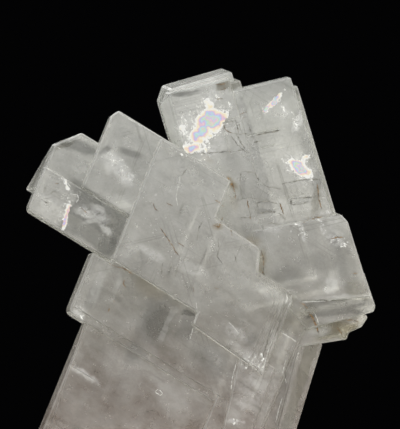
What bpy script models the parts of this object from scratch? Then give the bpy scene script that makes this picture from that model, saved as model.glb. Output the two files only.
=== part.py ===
"""A twinned calcite crystal: two stacks of rhombohedral plates that grew through each other.

Metres, +Z up. The crystal stands on the flat cut where it grew on its rock, and the origin is the
middle of the bottom of its bounding box. Its broad faces look towards -Y.

Every size below is in millimetres. Both limbs are measured from the heart of the twin, the point
where their faces cross. A limb has two edge directions in its broad faces, up and across, and a third
one that runs back into the crystal. A plate is an outline in (across, up), as seen from the front, and
it runs back along the third edge.
"""

import math

import bmesh
import bpy
from mathutils import Vector

MM = 0.001

# The heart stands this high over the cut base.
HEART_HEIGHT = 43.9
# The edges of all plates are worn or rounded by growth.
EDGE_ROUND = 0.32
FINE_ROUND = 0.14
EDGE_STEPS = 2
# No plate with a smaller angle than this between its faces is rounded.
ROUND_ANGLE = math.radians(25)
# A pit is cut by a block that stands this far out of the face, with edges rounded by this much.
PIT_OVERHANG = 2.0
PIT_ROUND = 0.05

# Directions in the XZ plane, in degrees from +X. Calcite's edges meet at about 102 or 78 degrees, and the
# second limb shows a squarer corner because its faces are seen a little edge-on.
MAIN_UP, MAIN_ACROSS = 67.7, -31.5
TWIN_UP, TWIN_ACROSS = 106.7, 13.0
# The third edge leans this far from straight back, towards lean_to, and the broad faces fall back
# towards the same side.
MAIN_LEAN_TO, MAIN_EDGE_LEAN, MAIN_FACE_LEAN = 198.1, 12.0, 5.0
TWIN_LEAN_TO, TWIN_EDGE_LEAN, TWIN_FACE_LEAN = 149.9, 15.0, 4.0

# The plates of the main limb run past the base, and the base cut ends them here.
PAST_BASE = -68.0


def direction(degrees):
    """The unit vector in the XZ plane at this angle from +X."""
    angle = math.radians(degrees)
    return Vector((math.cos(angle), 0.0, math.sin(angle)))


class Limb:
    """One individual of the twin: its edge directions and how its broad faces lean."""

    def __init__(self, up, across, lean_to, edge_lean, face_lean):
        self.up = direction(up)
        self.across = direction(across)
        self.lean_to = direction(lean_to)
        lean = math.radians(edge_lean)
        self.back = Vector((0, math.cos(lean), 0)) + self.lean_to * math.sin(lean)
        self.fall = math.tan(math.radians(face_lean))

    def point(self, across, up, front):
        """The point on a broad face that lies front millimetres behind the heart."""
        seen = self.across * across + self.up * up
        depth = front + self.fall * seen.dot(self.lean_to)
        return seen + Vector((0, depth, HEART_HEIGHT))


MAIN = Limb(MAIN_UP, MAIN_ACROSS, MAIN_LEAN_TO, MAIN_EDGE_LEAN, MAIN_FACE_LEAN)
TWIN = Limb(TWIN_UP, TWIN_ACROSS, TWIN_LEAN_TO, TWIN_EDGE_LEAN, TWIN_FACE_LEAN)


def box(across, up):
    """The outline of a plain rhomb, from its ranges along both edges."""
    (left, right), (low, high) = across, up
    return [(left, low), (right, low), (right, high), (left, high)]


def rounded(outline, corner, radius, steps=4):
    """The outline with one corner turned into a curve that starts radius away from it."""
    before, at, after = (Vector(outline[(corner + i) % len(outline)]) for i in (-1, 0, 1))
    start = at + (before - at).normalized() * radius
    end = at + (after - at).normalized() * radius
    curve = []
    for i in range(steps + 1):
        t = i / steps
        curve.append(tuple(start * (1 - t) ** 2 + at * 2 * t * (1 - t) + end * t**2))
    return outline[:corner] + curve + outline[corner + 1 :]


def add_mesh(name, rings, collection):
    """A closed solid between two rings of points of the same number."""
    mesh = bmesh.new()
    loops = [[mesh.verts.new(point * MM) for point in ring] for ring in rings]
    first, last = loops
    mesh.faces.new(first)
    mesh.faces.new(list(reversed(last)))
    for i in range(len(first)):
        j = (i + 1) % len(first)
        mesh.faces.new((first[i], last[i], last[j], first[j]))
    bmesh.ops.recalc_face_normals(mesh, faces=mesh.faces)
    data = bpy.data.meshes.new(name)
    mesh.to_mesh(data)
    mesh.free()
    obj = bpy.data.objects.new(name, data)
    collection.objects.link(obj)
    return obj


def as_helper(obj):
    """A helper is joined to the crystal or cut from it, and isn't shown by itself."""
    obj.hide_render = True
    obj.display_type = "WIRE"
    return obj


def round_edges(obj, width):
    bevel = obj.modifiers.new("worn_edges", "BEVEL")
    bevel.width = width * MM
    bevel.segments = EDGE_STEPS
    bevel.limit_method = "ANGLE"
    bevel.angle_limit = ROUND_ANGLE
    bevel.use_clamp_overlap = True


def plate(collection, limb, name, outline, front, thick, edge=EDGE_ROUND, back_outline=None, dip=(0, 0)):
    """One plate of a limb. With back_outline, its sides slope from the front outline to that one.

    The front face lies front millimetres deep at the first point of the outline, and sinks by dip for
    each millimetre across and up from there.
    """
    first_across, first_up = outline[0]
    run = limb.back * thick
    near = []
    for across, up in outline:
        sunk = dip[0] * (across - first_across) + dip[1] * (up - first_up)
        near.append(limb.point(across, up, front + sunk))
    far = [limb.point(across, up, front) + run for across, up in back_outline or outline]
    obj = add_mesh(name, (near, far), collection)
    round_edges(obj, edge)
    return as_helper(obj)


def main_limb(collection):
    """The limb that leans right and stands on the base, from its front plates to its back."""

    def add(name, outline, front, thick, edge=EDGE_ROUND, back_outline=None, dip=(0, 0)):
        plate(collection, MAIN, name, outline, front, thick, edge, back_outline, dip)

    # The front plate has a stepped outline, and growth terraces step down to its right-hand edge.
    front = [(-21.3, -17.7), (-3.1, -17.7), (-3.1, -20.2), (9.3, -21.0), (9.3, -8.6), (8.1, -7.4)]
    front += [(4.6, -6.3), (3.2, -1.9), (-6.5, -1.4), (-6.5, 5.9), (-21.3, 5.9)]
    add("front_plate", front, 0.0, 11.5)
    for step, inset in enumerate((2.1, 1.35, 0.65, 0.0), 1):
        right, top = 12.2 - inset, -5.7 - inset / 2
        terrace = [(0.0, -17.5), (8.4, -20.3), (right, -21.5 + inset / 4), (right, top), (0.0, top)]
        add(f"terrace_{step}", rounded(terrace, 3, 2.2), 0.16 * step, 8.4 + 0.2 * step, FINE_ROUND)
    # The top-left plate, with its corner cut off, and the plates behind it
    top_left = [(-31.4, -9.3), (-16.0, -9.3), (-16.0, 6.15), (-30.5, 6.15), (-31.4, 4.4)]
    add("top_left", top_left, 1.3, 3.0)
    add("top_left_behind", box((-30.2, -12.0), (-7.5, 5.3)), 4.0, 6.0)
    # The left block: a lower plate over an upper one with a slanting top corner
    left_low = box((-39.2, -14.0), (-18.2, -9.6))
    add("left_low", rounded(left_low, 0, 1.1), 2.4, 3.8)
    left_up = [(-39.2, -14.0), (-24.0, -14.0), (-24.0, -0.7), (-35.4, -0.9), (-39.0, -5.3)]
    left_up_back = [(-40.2, -14.2), (-24.0, -14.2), (-24.0, -1.2), (-34.9, -0.9), (-38.7, -4.3)]
    add("left_up", left_up, 3.0, 7.6, back_outline=left_up_back)
    add("left_behind", box((-37.6, -15.0), (-16.6, -3.4)), 7.5, 6.5)
    # The wide middle slab, which ends under the left block, with a step along its lower edge
    middle = [(-25.1, -30.3), (14.6, -30.3), (14.6, -12.0), (-19.0, -12.0), (-21.6, -18.5), (-25.1, -18.5)]
    add("middle_slab", rounded(middle, 0, 1.2), 2.2, 4.8)
    add("middle_behind", box((-22.8, 14.0), (-28.0, -12.0)), 5.6, 4.6)
    face = [(-24.7, -28.9), (13.8, -28.9), (13.8, -12.5), (-18.6, -12.5), (-21.2, -18.7), (-24.7, -18.7)]
    add("middle_face", face, 1.8, 3.0, FINE_ROUND)
    # A streaky rib and a lower shelf on the right of the slab
    rib = [(7.1, -19.0), (7.3, -22.0), (12.0, -50.0), (15.2, -50.0), (14.0, -19.0)]
    add("rib", rib, 1.2, 5.0)
    add("shelf", box((6.0, 16.2), (-46.0, -7.1)), 1.9, 9.5)
    add("shelf_step", box((11.0, 15.7), (-41.0, -12.8)), 1.5, 3.0, FINE_ROUND)
    # The lowest slab, which is the one that stands on the base
    low_face = [(-19.0, PAST_BASE), (15.0, PAST_BASE), (15.0, -27.0), (-21.6, -27.0), (-21.6, -31.0)]
    add("low_face", low_face, 3.2, 2.0, FINE_ROUND)
    add("low_ledge", box((-21.0, -8.0), (-38.5, -27.5)), 2.8, 1.5, FINE_ROUND, dip=(0.06, 0))
    add("low_slab", box((-21.3, 16.0), (PAST_BASE, -26.0)), 3.7, 5.5)
    # The right-hand side facet slopes back from the shelf.
    facet = [(11.5, PAST_BASE), (23.0, PAST_BASE), (18.5, -28.0), (15.9, -10.6), (11.5, -10.6)]
    facet_back = [(11.5, PAST_BASE), (28.5, PAST_BASE), (23.9, -27.0), (22.2, -9.5), (11.5, -9.5)]
    add("side_facet", facet, 2.4, 9.0, back_outline=facet_back)
    # The back of the limb
    add("back_slab", box((-20.4, 15.5), (PAST_BASE, -4.0)), 8.2, 6.0)
    add("back_left", box((-20.0, -8.0), (-44.0, -9.0)), 8.6, 6.6)
    add("back_low", box((-16.6, 13.5), (PAST_BASE, -12.0)), 13.0, 5.6)
    add("back_right", box((4.0, 20.6), (-57.0, -17.5)), 10.0, 6.2)
    add("back_step", box((-12.0, 7.2), (-47.0, -19.0)), 17.6, 4.4)
    add("back_upper", box((-27.5, -4.0), (-12.6, 2.8)), 9.2, 6.6)
    add("back_upper_step", box((-24.0, -9.5), (-10.0, -0.6)), 14.8, 2.6)


def twin_limb(collection):
    """The limb that leans left and crosses the main one at the heart."""

    def add(name, outline, front, thick, edge=EDGE_ROUND, back_outline=None, dip=(0, 0)):
        plate(collection, TWIN, name, outline, front, thick, edge, back_outline, dip)

    # The top-left plate comes level with the top-right one towards the heart.
    top_left_back = [(-8.6, -10.0), (4.3, -10.0), (4.8, 27.6), (-6.8, 27.4), (-8.6, 25.2)]
    top_left = [(-7.2, -10.0), (4.3, -10.0), (4.3, 27.6), (-6.6, 27.5), (-7.2, 26.7)]
    add("twin_top_left", top_left, 3.1, 3.4, back_outline=top_left_back, dip=(0, -0.03))
    behind = [(-8.2, -13.0), (5.4, -13.0), (5.2, 28.8), (-6.4, 28.2), (-8.2, 25.6)]
    add("twin_top_left_behind", behind, 4.4, 7.6)
    add("twin_sliver", box((1.0, 6.2), (6.0, 26.9)), 3.0, 4.6)
    add("twin_top_right", box((2.0, 15.1), (-7.0, 25.3)), 2.6, 2.2)
    add("twin_right_behind", box((0.0, 15.9), (-5.0, 23.6)), 4.7, 7.6)
    # The lower plate rises towards its right-hand edge, over a step and a broken end.
    lower = [(0.0, -14.0), (17.5, -16.8), (17.4, -2.6), (16.6, -1.0), (0.0, -0.1)]
    add("twin_lower", lower, 2.8, 7.4, dip=(-0.085, 0))
    lower_step = [(4.6, -19.9), (17.2, -19.5), (17.8, -18.6), (17.6, -12.0), (1.2, -12.0)]
    add("twin_lower_step", lower_step, 2.4, 6.4)
    broken_end = [(2.0, -22.7), (11.2, -23.3), (11.8, -22.2), (14.4, -21.7), (16.0, -20.2), (13.4, -16.0)]
    broken_end += [(2.0, -16.0)]
    add("twin_broken_end", broken_end, 3.4, 5.4)
    # The back of the limb
    add("twin_back", box((-4.8, 13.6), (-15.0, 22.4)), 10.5, 5.6)
    add("twin_back_lower", box((1.0, 16.6), (-17.8, -3.0)), 7.4, 5.4)
    add("twin_back_left", box((-6.6, 2.4), (-2.0, 25.8)), 11.0, 3.0)
    add("twin_back_step", box((-1.0, 10.2), (-12.0, 15.2)), 15.2, 4.0)


def pits(collection):
    """Shallow pits and cleavage slits in the twin limb's faces, and chips out of the rim of the base."""

    def pit(limb, name, outline, face, depth):
        plate(collection, limb, name, outline, face - PIT_OVERHANG, PIT_OVERHANG + depth, PIT_ROUND)

    pit(TWIN, "pit_upper", box((0.9, 5.9), (13.9, 20.2)), 2.4, 0.12)
    pit(TWIN, "pit_inner", box((1.1, 3.2), (14.2, 19.8)), 2.4, 0.3)
    pit(TWIN, "slit_long", box((4.9, 10.6), (16.2, 16.55)), 2.6, 0.35)
    pit(TWIN, "slit_short", box((6.6, 9.2), (13.6, 13.8)), 2.6, 0.3)
    pit(TWIN, "pit_low_right", box((8.4, 12.6), (2.6, 3.9)), 2.6, 0.3)
    pit(TWIN, "pit_low", box((2.2, 6.8), (1.2, 4.2)), 2.65, 0.22)
    pit(MAIN, "chip_right", box((19.6, 34.0), (PAST_BASE, -31.4)), 2.4, 4.2)
    pit(MAIN, "chip_left", box((-30.0, -18.4), (PAST_BASE, -54.4)), 2.4, 3.1)
    pit(MAIN, "chip_back", box((-9.0, -2.5), (PAST_BASE, -47.6)), 19.4, 4.0)


def base_cutter(collection):
    """Everything below the height of the cut base is taken off."""
    wide, deep = 90.0, 40.0
    corners = [(-wide, -wide), (wide, -wide), (wide, wide), (-wide, wide)]
    low = [Vector((x, y, -deep)) for x, y in corners]
    high = [Vector((x, y, 0.0)) for x, y in corners]
    return as_helper(add_mesh("base_cutter", (low, high), collection))


def boolean(obj, name, operation, other):
    """Joins or cuts with an object or with all objects of a collection."""
    modifier = obj.modifiers.new(name, "BOOLEAN")
    modifier.operation = operation
    modifier.solver = "EXACT"
    if isinstance(other, bpy.types.Collection):
        modifier.operand_type = "COLLECTION"
        modifier.collection = other
    else:
        modifier.object = other


def calcite():
    """Clear to milky calcite, polished by growth."""
    material = bpy.data.materials.new("calcite")
    material.use_nodes = True
    shader = material.node_tree.nodes["Principled BSDF"]
    shader.inputs["Base Color"].default_value = (0.62, 0.61, 0.58, 1)
    shader.inputs["Roughness"].default_value = 0.25
    shader.inputs["Metallic"].default_value = 0.0
    return material


def box_centre_at_base(obj):
    """The middle of the bottom of the object's box, with all its modifiers."""
    bpy.context.view_layer.update()
    evaluated = obj.evaluated_get(bpy.context.evaluated_depsgraph_get())
    points = [obj.matrix_world @ vertex.co for vertex in evaluated.data.vertices]
    low = Vector(min(point[axis] for point in points) for axis in range(3))
    high = Vector(max(point[axis] for point in points) for axis in range(3))
    return Vector(((low.x + high.x) / 2, (low.y + high.y) / 2, low.z))


def grown_crystal(growth, hollows, cutter):
    """The middle slab becomes the crystal: the other plates join it, then the pits and the base are cut."""
    scene = bpy.context.scene.collection
    crystal = growth.objects["middle_slab"]
    growth.objects.unlink(crystal)
    scene.objects.link(crystal)
    crystal.name = "calcite_twin"
    crystal.hide_render = False
    crystal.display_type = "TEXTURED"
    crystal.data.materials.append(calcite())
    boolean(crystal, "grown_together", "UNION", growth)
    boolean(crystal, "pitted", "DIFFERENCE", hollows)
    boolean(crystal, "cut_from_rock", "DIFFERENCE", cutter)
    return crystal


def new_collection(name):
    collection = bpy.data.collections.new(name)
    bpy.context.scene.collection.children.link(collection)
    return collection


def main():
    for old in list(bpy.data.objects):
        bpy.data.objects.remove(old, do_unlink=True)
    growth = new_collection("growth_plates")
    main_limb(growth)
    twin_limb(growth)
    hollows = new_collection("pits_and_slits")
    pits(hollows)
    cutter = base_cutter(bpy.context.scene.collection)
    crystal = grown_crystal(growth, hollows, cutter)
    centre = box_centre_at_base(crystal)
    for obj in bpy.data.objects:
        obj.location -= centre
    print("the heart of the twin is at", crystal.location / MM, "mm, and", HEART_HEIGHT, "mm up")


main()
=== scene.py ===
# %% [markdown]
# # A twinned calcite crystal
#
# This notebook dresses one imported solid: two stacks of clear to milky calcite plates that grew through
# each other. The solid has every plate, ledge and pit. What is missing is what light does in a real
# crystal: veils of tiny bubbles, cracks with thin-film colours, rusty stains and fine growth lines. We
# keep the size of the solid's box.

# %% Load the solid
import math
import random

import bpy
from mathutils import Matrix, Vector, noise
from mathutils.bvhtree import BVHTree


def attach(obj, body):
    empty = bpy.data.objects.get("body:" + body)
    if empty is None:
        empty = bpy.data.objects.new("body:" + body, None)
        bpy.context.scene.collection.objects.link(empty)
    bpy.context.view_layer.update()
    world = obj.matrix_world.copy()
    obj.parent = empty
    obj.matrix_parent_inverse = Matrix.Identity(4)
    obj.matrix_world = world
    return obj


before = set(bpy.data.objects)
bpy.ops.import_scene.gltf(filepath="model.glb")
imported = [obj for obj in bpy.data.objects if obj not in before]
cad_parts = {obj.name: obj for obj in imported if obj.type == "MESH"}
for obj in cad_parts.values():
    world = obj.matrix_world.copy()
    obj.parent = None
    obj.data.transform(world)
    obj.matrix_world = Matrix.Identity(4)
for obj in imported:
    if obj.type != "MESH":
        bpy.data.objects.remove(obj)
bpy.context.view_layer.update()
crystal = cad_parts["calcite_twin"]
MM = 0.001

# %% [markdown]
# ## Where things are on the crystal
#
# Both limbs cross at the heart of the twin. Every place below is millimetres right of the heart and above
# it, as seen from the front. A ray shot from there finds the face, so each stain or veil lies on the real
# surface. The plates' edges run in four directions, given in degrees, and cracks follow them, because
# calcite splits along the planes that it grows by.

# %% Find the surface
HEART = Vector((9.53, -12.42, 43.9)) * MM
MAIN_UP, MAIN_ACROSS = 67.7, -31.5
TWIN_UP, TWIN_ACROSS = 106.7, 13.0
RAY_START = -0.2
surface = BVHTree.FromObject(crystal, bpy.context.evaluated_depsgraph_get())


def face_at(right, up):
    """The point on the front of the crystal at this place and the direction its face looks in."""
    start = Vector((HEART.x + right * MM, RAY_START, HEART.z + up * MM))
    return surface.ray_cast(start, Vector((0, 1, 0)))[:2]


def front_face(right, up):
    """Only the point."""
    return face_at(right, up)[0]


print("the front face at the heart is at", tuple(round(v / MM, 2) for v in front_face(-1, 1)), "mm")

# %% [markdown]
# ## The camera
#
# The photograph is a close-up with a long lens, level with the crystal, so the camera stands 60 cm away
# and looks along +Y. One pixel of the 400 by 429 image is 0.18 mm of crystal at the heart. The frame
# cuts off the lowest 8 mm, as the photograph does.

# %% Camera
PHOTO_WIDTH, PHOTO_HEIGHT = 400, 429
MM_PER_PIXEL = 0.18
HEART_PIXEL = (250, 230)
CAMERA_DISTANCE, NEAREST_SEEN = 0.6, 0.05
SENSOR_WIDTH = 36

lens_data = bpy.data.cameras.new("camera")
lens_data.sensor_width = SENSOR_WIDTH
lens_data.lens = SENSOR_WIDTH * CAMERA_DISTANCE / (PHOTO_HEIGHT * MM_PER_PIXEL * MM)
lens_data.clip_start = NEAREST_SEEN
camera = bpy.data.objects.new("camera", lens_data)
camera.location = (
    HEART.x + (PHOTO_WIDTH / 2 - HEART_PIXEL[0]) * MM_PER_PIXEL * MM,
    HEART.y - CAMERA_DISTANCE,
    HEART.z + (HEART_PIXEL[1] - PHOTO_HEIGHT / 2) * MM_PER_PIXEL * MM,
)
camera.rotation_euler = (math.radians(90), 0, 0)
bpy.context.scene.collection.objects.link(camera)
bpy.context.scene.camera = camera
print(f"lens {lens_data.lens:.0f} mm, camera {camera.location.z / MM:.1f} mm above the floor")

# %% [markdown]
# ## Colours and nodes
#
# Colours are sRGB hex values, as a colour picker shows them, and one function turns them into the linear
# values that Blender computes with. Another adds a node with its settings and links.

# %% Colour and node helpers


def colour(hex_code, alpha=1.0):
    """A linear colour from an sRGB hex code such as #d8d6cf."""
    parts = [int(hex_code[i : i + 2], 16) / 255 for i in (1, 3, 5)]
    linear = [v / 12.92 if v <= 0.04045 else ((v + 0.055) / 1.055) ** 2.4 for v in parts]
    return (*linear, alpha)


def add_node(tree, kind, sockets=None, **settings):
    """A new node: settings are its properties, sockets maps an input to a value or an output."""
    made = tree.nodes.new(kind)
    for name, value in settings.items():
        setattr(made, name, value)
    for name, value in (sockets or {}).items():
        if isinstance(value, bpy.types.NodeSocket):
            tree.links.new(value, made.inputs[name])
        else:
            made.inputs[name].default_value = value
    return made


def new_material(name):
    """A material with its node tree, its output and the coordinates of its object."""
    material = bpy.data.materials.new(name)
    material.use_nodes = True
    tree = material.node_tree
    tree.nodes.clear()
    output = add_node(tree, "ShaderNodeOutputMaterial")
    return material, tree, output, add_node(tree, "ShaderNodeTexCoord").outputs["Object"]


def give_surface(tree, output, sockets):
    """The usual shader, with these sockets, as the surface."""
    shader = add_node(tree, "ShaderNodeBsdfPrincipled", sockets).outputs[0]
    tree.links.new(shader, output.inputs["Surface"])


def per_mm(size):
    """The scale of a pattern whose features are this many millimetres wide."""
    return 1 / (size * MM)


print("milky calcite is", tuple(round(v, 3) for v in colour("#d3d2cc")[:3]), "linear")

# %% [markdown]
# ## Clear and milky zones
#
# Zones that grew slowly are clear, and the dark room seen through them is painted into their colour as
# painted shade. Zones that trapped fluid are white.
# A table of them is easier to change than a painting. Each row is a flat ellipse or box on one face: how
# far right and up it is, its half length and half width in millimetres, its turn in degrees and how
# strong it is. Some rows go on with the softness of the edge, if it isn't the usual 0.9, and with the
# word box. A deep box reaches through a plate.

# %% Zones of the clear parts painted dark, and of the milky, olive and rusty parts
# Clear zones, painted dark: painted shade of the dark room seen through them
CLEAR_ZONES_PAINTED_DARK = [
    (-27.5, 1.4, 5.9, 4.3, -31, 0.5, 0.25, "box"), (-25.7, -2.5, 2.7, 2.2, 67, 0.6),
    (-30.4, 7, 2.7, 1.1, -42, 0.45, 0.7), (-23, 1.4, 3.2, 1.3, 67, 0.4, 0.8),
    (-26.3, 14.4, 1.1, 0.6, 50, 0.55, 1), (-21.6, 14, 2.3, 0.7, -20, 0.4),
    (-16.9, -16.6, 4, 2.9, 67, 0.45, 1.3), (-11.3, -17.1, 2.9, 1.4, 67, 0.3, 0.5, "box"),
    (-11.2, -15.1, 1.6, 0.7, -10, 0.5, 0.6), (-20.9, -22.3, 2.5, 2, 60, 0.35),
    (-6.5, -23.8, 4.3, 2.3, -31, 0.3), (6.8, -8.5, 2.7, 2, 0, 0.33, 1), (9, 5.2, 2, 0.5, 6, 0.3, 0.3, "box"),
    (2.7, 3.4, 1.4, 0.4, 10, 0.28, 0.3, "box"), (-1.3, 7.6, 0.5, 1.6, 0, 0.2, 0.6, "box"),
    (12.6, -5.8, 4.7, 1.6, -3, 0.2), (15.8, -14, 6.1, 1.4, 4, 0.38, 0.3, "box"),
    (-11.7, 24.8, 3.1, 0.5, 8, 0.55, 1), (-9.7, 27.2, 7.2, 1.3, 15, 0.1, 0.3, "box"),
    (3.6, 25.2, 5.4, 2.3, 15, 0.22, 0.9, "deep"), (-38.7, 10.4, 3.6, 1.1, 60, 0.4, 0.5, "box"),
    (-31, 15.1, 4, 1.1, -12, 0.45, 0.8), (-28.4, -12.1, 2.5, 1.4, 67, 0.25), (0.2, -19.8, 1.4, 1.1, 20, 0.35),
    (2.2, 19.8, 2.5, 3.2, 75, 0.05), (11.7, 12.6, 5.8, 1.6, -75, 0.3, 0.6, "box"),
    (9, 18.9, 4.3, 2.2, -75, 0.15, 1), (0.4, -0.5, 3.6, 1.4, -10, 0.2, 1),
    (16.7, -4, 5.4, 1.4, -75, 0.25, 0.8, "box"), (6.3, -29.7, 7.2, 1.1, 75, 0.3),
]
MILKIER = [
    (-9.4, 26.6, 5.4, 1.3, 14, 0.5, 0.4, "box"), (-36.4, 5.9, 4, 3.6, -31, 0.06, 0.35, "box"),
    (-14.9, 21.2, 4.3, 0.9, -73, 0.45, 0.4, "box"), (-23.6, 11, 4.3, 1.4, -48, 0.35, 1),
    (-25.4, 11.2, 1.6, 0.6, 80, 0.45, 0.8), (-23.4, 4.7, 2.9, 1.4, -31, 0.3),
    (-29.7, 2.9, 2.2, 0.7, -20, 0.55, 0.8), (-27.2, 3.8, 1.4, 0.6, -35, 0.5, 0.8),
    (-27.7, 1.8, 2.3, 0.5, 12, 0.45, 0.8), (-26.5, 0.4, 1.6, 0.5, -48, 0.4, 0.8),
    (-18, -4.1, 3.1, 0.9, -31, 0.4), (-10.6, -6.8, 2.9, 1.1, -15, 0.4), (-21.6, -2.7, 2.5, 1.1, 67, 0.2),
    (-11.7, 9, 7.2, 4.7, -31, 0.16), (-3.2, -2.9, 4.7, 2.9, -31, 0.16), (4, -11.3, 3.2, 1.4, -35, 0.45),
    (-2.7, -18.2, 2.9, 0.7, -35, 0.2, 1), (-3.2, -20.3, 1.8, 0.5, -25, 0.4, 0.8),
    (0.7, -23.8, 2.7, 1.4, -60, 0.3, 0.8), (0.2, -29.9, 4.3, 2.7, 60, 0.2, 1.2),
    (-2, -25.6, 5.4, 0.6, 67, 0.35), (-31, -15.1, 1.3, 0.7, -31, 0.55),
    (-27.7, -10.4, 3.1, 0.8, 67, 0.25, 0.7, "box"), (-24.3, -10.4, 2.5, 0.5, 72, 0.2),
    (-14.9, -17.1, 3.2, 0.5, 68, 0.25, 0.6, "box"), (14.6, -9.7, 2.2, 1.1, 80, 0.25, 1),
    (16.7, -12.1, 5, 0.5, 4, 0.4, 1), (15.5, 0.4, 2.3, 2, -30, 0.4, 0.8),
    (-30.1, -26.3, 2.9, 0.5, -31, 0.45, 0.8), (-14, -28.1, 9, 3.1, -31, 0.2, 1.1),
    (12.2, -17.8, 2, 1.3, 0, 0.4), (-2.5, -31.9, 2.9, 1.8, 60, 0.4, 1), (-2.5, 18.7, 6.5, 1.6, -75, 0.3, 1),
    (-8.1, 18, 7.2, 5, 75, 0.35), (7.2, 14.4, 2.9, 2.2, -20, 0.2), (7.9, 4.5, 3.6, 1.4, 8, 0.25, 0.4, "box"),
    (0.4, -24.8, 9.4, 7.2, 0, 0.25, 1.2),
]
OLIVE = [
    (9.4, -16.6, 3.6, 2, 60, 0.4, 0.8), (15.7, -18.2, 4, 1.6, 0, 0.75, 0.6, "box"),
    (9.7, -26.1, 11.2, 2.3, 73, 0.7, 0.35, "box"), (12.1, 5.8, 2.9, 0.6, 78, 0.4),
    (18.9, -10.8, 1.8, 2.2, 70, 0.4), (-2.7, 26.3, 1.4, 0.9, 15, 0.5, 0.5, "box"),
    (-5, 25.9, 1.3, 0.7, 10, 0.7, 0.5, "box"), (6.1, -23.8, 2.9, 1.4, 67, 0.3),
    (-33.8, 15.3, 2.5, 0.5, 20, 0.5, 0.8), (-38.7, 9.9, 3.6, 0.5, 62, 0.3, 0.8),
    (4, -10.8, 2.9, 1.3, -35, 0.25), (-20.7, -9.9, 3.6, 2.2, -31, 0.2),
]
RUSTY = [
    (-3.4, 8.6, 1.3, 0.7, -50, 0.5), (-5.8, 0.7, 1.1, 0.7, 0, 0.5), (-2.7, 4.7, 0.7, 1.3, 0, 0.15),
    (0.4, -2.2, 1.6, 1.1, 0, 0.3), (2.2, -5.8, 2.3, 0.5, 80, 0.35, 0.8), (16.9, -17.5, 2.2, 1.1, 10, 0.2),
    (-18, -10.4, 2.9, 1.6, -31, 0.2), (-7.9, 13, 1.4, 0.5, -30, 0.3),
]
VEILS = [
    (-23.8, 11.2, 3.6, 1.3, -48, 0.8), (-22, 9.5, 1.6, 0.9, -50, 0.9), (-11.5, 18.4, 2.5, 1.6, 60, 0.8),
    (-8.1, 14.8, 2.3, 0.9, -30, 0.8), (6.3, 21.6, 1.3, 0.9, -60, 0.7), (8.6, 19.4, 2.2, 0.6, 75, 0.9, 0.7),
    (9.4, -0.4, 2, 0.6, -70, 1, 0.7), (13.1, 0.2, 2, 0.5, -72, 0.8, 0.8), (15.5, -2, 1.8, 0.9, -20, 0.7),
    (-2.9, -18.2, 2.9, 0.9, -35, 0.45, 1), (0.7, -24.1, 2.7, 1.4, -60, 0.5, 1),
    (0, -29.5, 3.4, 2.4, 60, 0.35, 1.2), (-2.3, -34.6, 1.6, 0.5, -5, 0.9, 0.7),
    (-31, -14.9, 1.4, 1.4, -31, 0.5, 1), (-30.2, -26.3, 2.7, 0.6, -31, 0.5), (-28.1, 2.9, 3.2, 1.1, -20, 0.6),
    (-26.3, 0.4, 1.6, 0.6, -48, 0.6), (4, 0.2, 1.6, 0.5, 0, 0.5, 0.8), (14, 3.2, 1.4, 0.5, 10, 0.8, 0.8),
    (-36.4, 4.5, 3.2, 1.6, -31, 0.4), (-18, -4.1, 2.5, 0.7, -31, 0.5), (14.4, -10.1, 1.6, 1.1, 70, 0.5),
    (-6.7, 23.9, 1.6, 1.1, 60, 0.8), (-7.2, 16.2, 4, 2.9, 60, 0.45), (9, 11.7, 3.2, 2.2, -40, 0.5),
]
HATCHED = [
    (-10.8, 21.2, 4.7, 2.7, 75, 0.5, 0.6), (-22.7, 4.7, 2, 1.6, -31, 0.3, 0.6),
]
print(len(CLEAR_ZONES_PAINTED_DARK), "clearer,", len(MILKIER), "milkier and", len(OLIVE) + len(RUSTY), "tinted zones")

# %% [markdown]
# ## From a row to a mask
#
# A mapping node moves, turns and scales the coordinates so that the zone becomes a ball or a cube of
# size 1 around the origin. A soft step turns the distance from its middle into a mask. A zone reaches
# only about 1.3 mm into the crystal, so it stops at the edge of its own plate. Many parallel nodes would
# overflow the renderer's small memory for one pixel, so each zone is made to wait for the one before it,
# by adding nothing times that zone's mask to its place.

# %% Zone masks
ZONE_DEPTH, DEEP_ZONE = 1.3, 12
DEPTH_PER_LENGTH = 0.08
USUAL_SOFTNESS = 0.9


def compute(tree, operation, first, second=0.0, third=0.0):
    """One step of arithmetic on up to three values."""
    return add_node(tree, "ShaderNodeMath", {0: first, 1: second, 2: third}, operation=operation).outputs[0]


def move(tree, operation, first, second=(0, 0, 0), third=(0, 0, 0)):
    """One step of arithmetic on up to three places."""
    sockets = {0: first, 1: second, 2: third}
    return add_node(tree, "ShaderNodeVectorMath", sockets, operation=operation).outputs[0]


def step_between(tree, value, low, high, top=1.0, kind="LINEAR"):
    """The value stretched so that low becomes 0 and high becomes top, and no further."""
    sockets = {"Value": value, "From Min": low, "From Max": high, "To Max": top}
    return add_node(tree, "ShaderNodeMapRange", sockets, interpolation_type=kind).outputs["Result"]


def zone_mask(tree, place, right, up, long, wide, turn, amount, soft=USUAL_SOFTNESS, kind="round"):
    """A mask that is amount in the middle of one zone, half of it at its edge, and 0 outside."""
    depth = DEEP_ZONE if kind == "deep" else ZONE_DEPTH + DEPTH_PER_LENGTH * long
    sockets = {"Vector": place, "Location": front_face(right, up)}
    sockets |= {"Rotation": (0, -math.radians(turn), 0), "Scale": (long * MM, depth * MM, wide * MM)}
    local = add_node(tree, "ShaderNodeMapping", sockets, vector_type="TEXTURE").outputs[0]
    if kind == "round":
        away = add_node(tree, "ShaderNodeVectorMath", {0: local}, operation="LENGTH").outputs["Value"]
    else:
        sides = add_node(tree, "ShaderNodeSeparateXYZ", {0: move(tree, "ABSOLUTE", local)}).outputs
        away = compute(tree, "MAXIMUM", compute(tree, "MAXIMUM", sides[0], sides[2]), sides[1])
    return step_between(tree, away, 1 + soft / 2, 1 - soft / 2, amount, "SMOOTHSTEP")


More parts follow.
